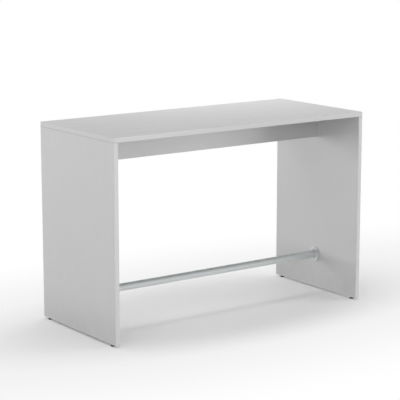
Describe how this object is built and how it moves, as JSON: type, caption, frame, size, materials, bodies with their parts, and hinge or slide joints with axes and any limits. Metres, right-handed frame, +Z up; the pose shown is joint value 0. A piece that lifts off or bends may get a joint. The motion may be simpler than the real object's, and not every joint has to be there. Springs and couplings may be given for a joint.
{
  "type": "standing meeting table",
  "caption": "Bar-height meeting table with panel legs, a flush board top, a stretcher rail under it, a round steel foot rail in flanged sockets and levelling feet.",
  "frame": {"origin": "on the floor, under the middle of the tabletop", "axes": "+X along the table's length to the right as seen from the front, +Y from front to back, +Z up"},
  "size_m": [1.6, 0.7, 1.05],
  "materials": {
    "board": "light grey melamine-faced chipboard, fine matt texture",
    "edge_band": "light grey plastic edge band, satin",
    "foot_rail": "satin chromed steel tube",
    "socket": "satin chromed metal",
    "screw": "zinc-plated steel",
    "cam": "die-cast zinc, dull",
    "dowel": "bare beech",
    "stem": "blackened steel",
    "foot_pad": "black plastic"
  },
  "bodies": {
    "table": {"tabletop": "board", "top_edge_front": "edge_band", "top_edge_back": "edge_band", "top_edge_left": "edge_band", "top_edge_right": "edge_band", "left_leg_panel": "board", "left_leg_edge_front": "edge_band", "left_leg_edge_back": "edge_band", "left_leg_edge_sole": "edge_band", "right_leg_panel": "board", "right_leg_edge_front": "edge_band", "right_leg_edge_back": "edge_band", "right_leg_edge_sole": "edge_band", "stretcher_rail": "board", "stretcher_edge_bottom": "edge_band", "foot_rail_tube": "foot_rail", "left_foot_rail_socket": "socket", "left_socket_screw_1": "screw", "left_socket_screw_2": "screw", "left_socket_screw_3": "screw", "left_socket_set_screw": "screw", "right_foot_rail_socket": "socket", "right_socket_screw_1": "screw", "right_socket_screw_2": "screw", "right_socket_screw_3": "screw", "right_socket_set_screw": "screw", "front_left_foot_sleeve": "screw", "back_left_foot_sleeve": "screw", "front_right_foot_sleeve": "screw", "back_right_foot_sleeve": "screw", "front_left_top_cam": "cam", "front_left_top_cam_bolt": "screw", "front_left_top_dowel": "dowel", "back_left_top_cam": "cam", "back_left_top_cam_bolt": "screw", "back_left_top_dowel": "dowel", "front_right_top_cam": "cam", "front_right_top_cam_bolt": "screw", "front_right_top_dowel": "dowel", "back_right_top_cam": "cam", "back_right_top_cam_bolt": "screw", "back_right_top_dowel": "dowel", "left_rail_cam": "cam", "left_rail_cam_bolt": "screw", "left_rail_dowel_upper": "dowel", "left_rail_dowel_lower": "dowel", "right_rail_cam": "cam", "right_rail_cam_bolt": "screw", "right_rail_dowel_upper": "dowel", "right_rail_dowel_lower": "dowel"},
    "front_left_pad": {"front_left_foot_pad": "foot_pad"},
    "front_left_stem": {"front_left_foot_stem": "stem"},
    "back_left_pad": {"back_left_foot_pad": "foot_pad"},
    "back_left_stem": {"back_left_foot_stem": "stem"},
    "front_right_pad": {"front_right_foot_pad": "foot_pad"},
    "front_right_stem": {"front_right_foot_stem": "stem"},
    "back_right_pad": {"back_right_foot_pad": "foot_pad"},
    "back_right_stem": {"back_right_foot_stem": "stem"}
  },
  "joints": [
    {"name": "front_left_foot_extend", "type": "slide", "parent": "table", "child": "front_left_pad", "axis": [0, 0, -1], "range_m": [0, 0.015]},
    {"name": "front_left_foot_screw", "type": "hinge", "parent": "front_left_pad", "child": "front_left_stem", "pos_m": [-0.7875, -0.305, 0], "axis": [0, 0, -1], "range_deg": [0, 4320]},
    {"name": "back_left_foot_extend", "type": "slide", "parent": "table", "child": "back_left_pad", "axis": [0, 0, -1], "range_m": [0, 0.015]},
    {"name": "back_left_foot_screw", "type": "hinge", "parent": "back_left_pad", "child": "back_left_stem", "pos_m": [-0.7875, 0.305, 0], "axis": [0, 0, -1], "range_deg": [0, 4320]},
    {"name": "front_right_foot_extend", "type": "slide", "parent": "table", "child": "front_right_pad", "axis": [0, 0, -1], "range_m": [0, 0.015]},
    {"name": "front_right_foot_screw", "type": "hinge", "parent": "front_right_pad", "child": "front_right_stem", "pos_m": [0.7875, -0.305, 0], "axis": [0, 0, -1], "range_deg": [0, 4320]},
    {"name": "back_right_foot_extend", "type": "slide", "parent": "table", "child": "back_right_pad", "axis": [0, 0, -1], "range_m": [0, 0.015]},
    {"name": "back_right_foot_screw", "type": "hinge", "parent": "back_right_pad", "child": "back_right_stem", "pos_m": [0.7875, 0.305, 0], "axis": [0, 0, -1], "range_deg": [0, 4320]}
  ],
  "couplings": [
    {"joint": "front_left_foot_screw", "follows": "front_left_foot_extend", "rad_per_m": 5026.5},
    {"joint": "back_left_foot_screw", "follows": "back_left_foot_extend", "rad_per_m": 5026.5},
    {"joint": "front_right_foot_screw", "follows": "front_right_foot_extend", "rad_per_m": 5026.5},
    {"joint": "back_right_foot_screw", "follows": "back_right_foot_extend", "rad_per_m": 5026.5}
  ]
}
